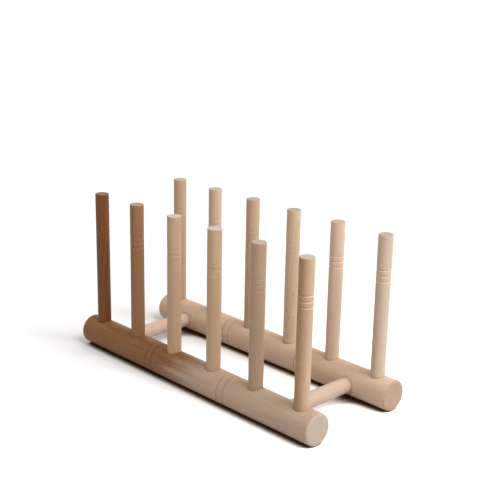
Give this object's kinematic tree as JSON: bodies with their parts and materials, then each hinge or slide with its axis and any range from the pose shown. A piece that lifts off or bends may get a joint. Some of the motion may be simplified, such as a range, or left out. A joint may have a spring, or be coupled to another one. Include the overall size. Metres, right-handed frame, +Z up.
{
  "type": "plate rack",
  "caption": "Free-standing wooden rack that holds plates on edge between rows of upright round pegs, set in round rails that cross rods hold apart.",
  "frame": {"origin": "on the table plane, midway between the two rails and halfway along them", "axes": "+X along the rails, +Y from the front rail to the rear rail, +Z up along the pegs"},
  "size_m": [0.28, 0.116, 0.144],
  "materials": {
    "rail_wood": "fine sanded beech, no varnish, lengthwise grain. The front rail is brown heartwood at its left end",
    "peg_wood": "turned and sanded beech dowel, no varnish",
    "dark_peg_wood": "turned and sanded beech dowel of a darker brown piece, no varnish",
    "rod_wood": "sanded beech dowel, pale, no varnish"
  },
  "bodies": {
    "root": {"front_rail": "rail_wood", "rear_rail": "rail_wood", "left_cross_rod": "rod_wood", "right_cross_rod": "rod_wood", "front_peg_1": "dark_peg_wood", "front_peg_2": "peg_wood", "front_peg_3": "peg_wood", "front_peg_4": "peg_wood", "front_peg_5": "peg_wood", "front_peg_6": "peg_wood", "rear_peg_1": "peg_wood", "rear_peg_2": "peg_wood", "rear_peg_3": "peg_wood", "rear_peg_4": "peg_wood", "rear_peg_5": "peg_wood", "rear_peg_6": "peg_wood"}
  },
  "joints": []
}
